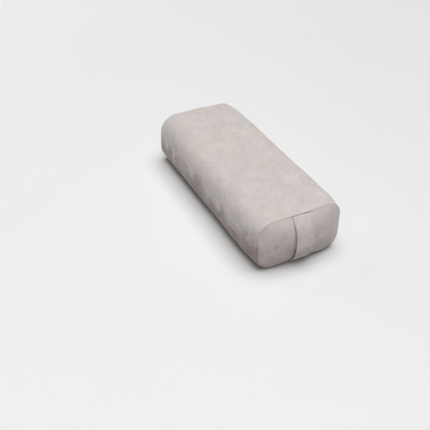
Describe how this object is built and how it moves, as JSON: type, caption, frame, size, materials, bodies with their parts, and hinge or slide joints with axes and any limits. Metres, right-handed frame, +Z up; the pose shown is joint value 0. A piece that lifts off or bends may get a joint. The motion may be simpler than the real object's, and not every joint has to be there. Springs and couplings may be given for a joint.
{
  "type": "yoga bolster",
  "caption": "Rectangular yoga bolster with a soft suede cover, domed ends, a strap handle on each end and a zip along one long side.",
  "frame": {"origin": "centre of the flat underside, on the floor", "axes": "+X along the length, +Y towards the long side that carries the zip, +Z up from the underside"},
  "size_m": [0.5168, 0.2019, 0.118],
  "materials": {
    "cover_suede": "matte",
    "strap_webbing": "matte",
    "liner_cotton": "matte",
    "batting_fibre": "matte",
    "core_foam": "matte",
    "zip_tape": "matte",
    "zip_nylon": "satin",
    "zip_metal": "satin"
  },
  "bodies": {
    "bolster": {"cover_wrap": "cover_suede", "end_panel_right": "cover_suede", "end_panel_left": "cover_suede", "handle_strap_right": "cover_suede", "handle_strap_left": "cover_suede", "handle_webbing_right": "strap_webbing", "handle_webbing_left": "strap_webbing", "liner_wrap": "liner_cotton", "liner_end_right": "liner_cotton", "liner_end_left": "liner_cotton", "batting_wrap": "batting_fibre", "batting_end_right": "batting_fibre", "batting_end_left": "batting_fibre", "foam_core": "core_foam", "zip_tape_upper": "zip_tape", "zip_tape_lower": "zip_tape", "zip_coil_upper": "zip_nylon", "zip_coil_lower": "zip_nylon", "zip_top_stop_upper": "zip_metal", "zip_top_stop_lower": "zip_metal", "zip_bottom_stop": "zip_metal"},
    "zip_slider": {"zip_slider": "zip_metal"},
    "zip_pull": {"zip_pull": "zip_metal"}
  },
  "joints": [
    {"name": "zip_travel", "type": "slide", "parent": "bolster", "child": "zip_slider", "axis": [-1, 0, 0], "range_m": [0, 0.352], "deforming": ["zip_coil_upper", "zip_coil_lower"]},
    {"name": "pull_swing", "type": "hinge", "parent": "zip_slider", "child": "zip_pull", "pos_m": [0.176, 0.10065, 0.057], "axis": [0, 0, -1], "range_deg": [0, 180]}
  ]
}
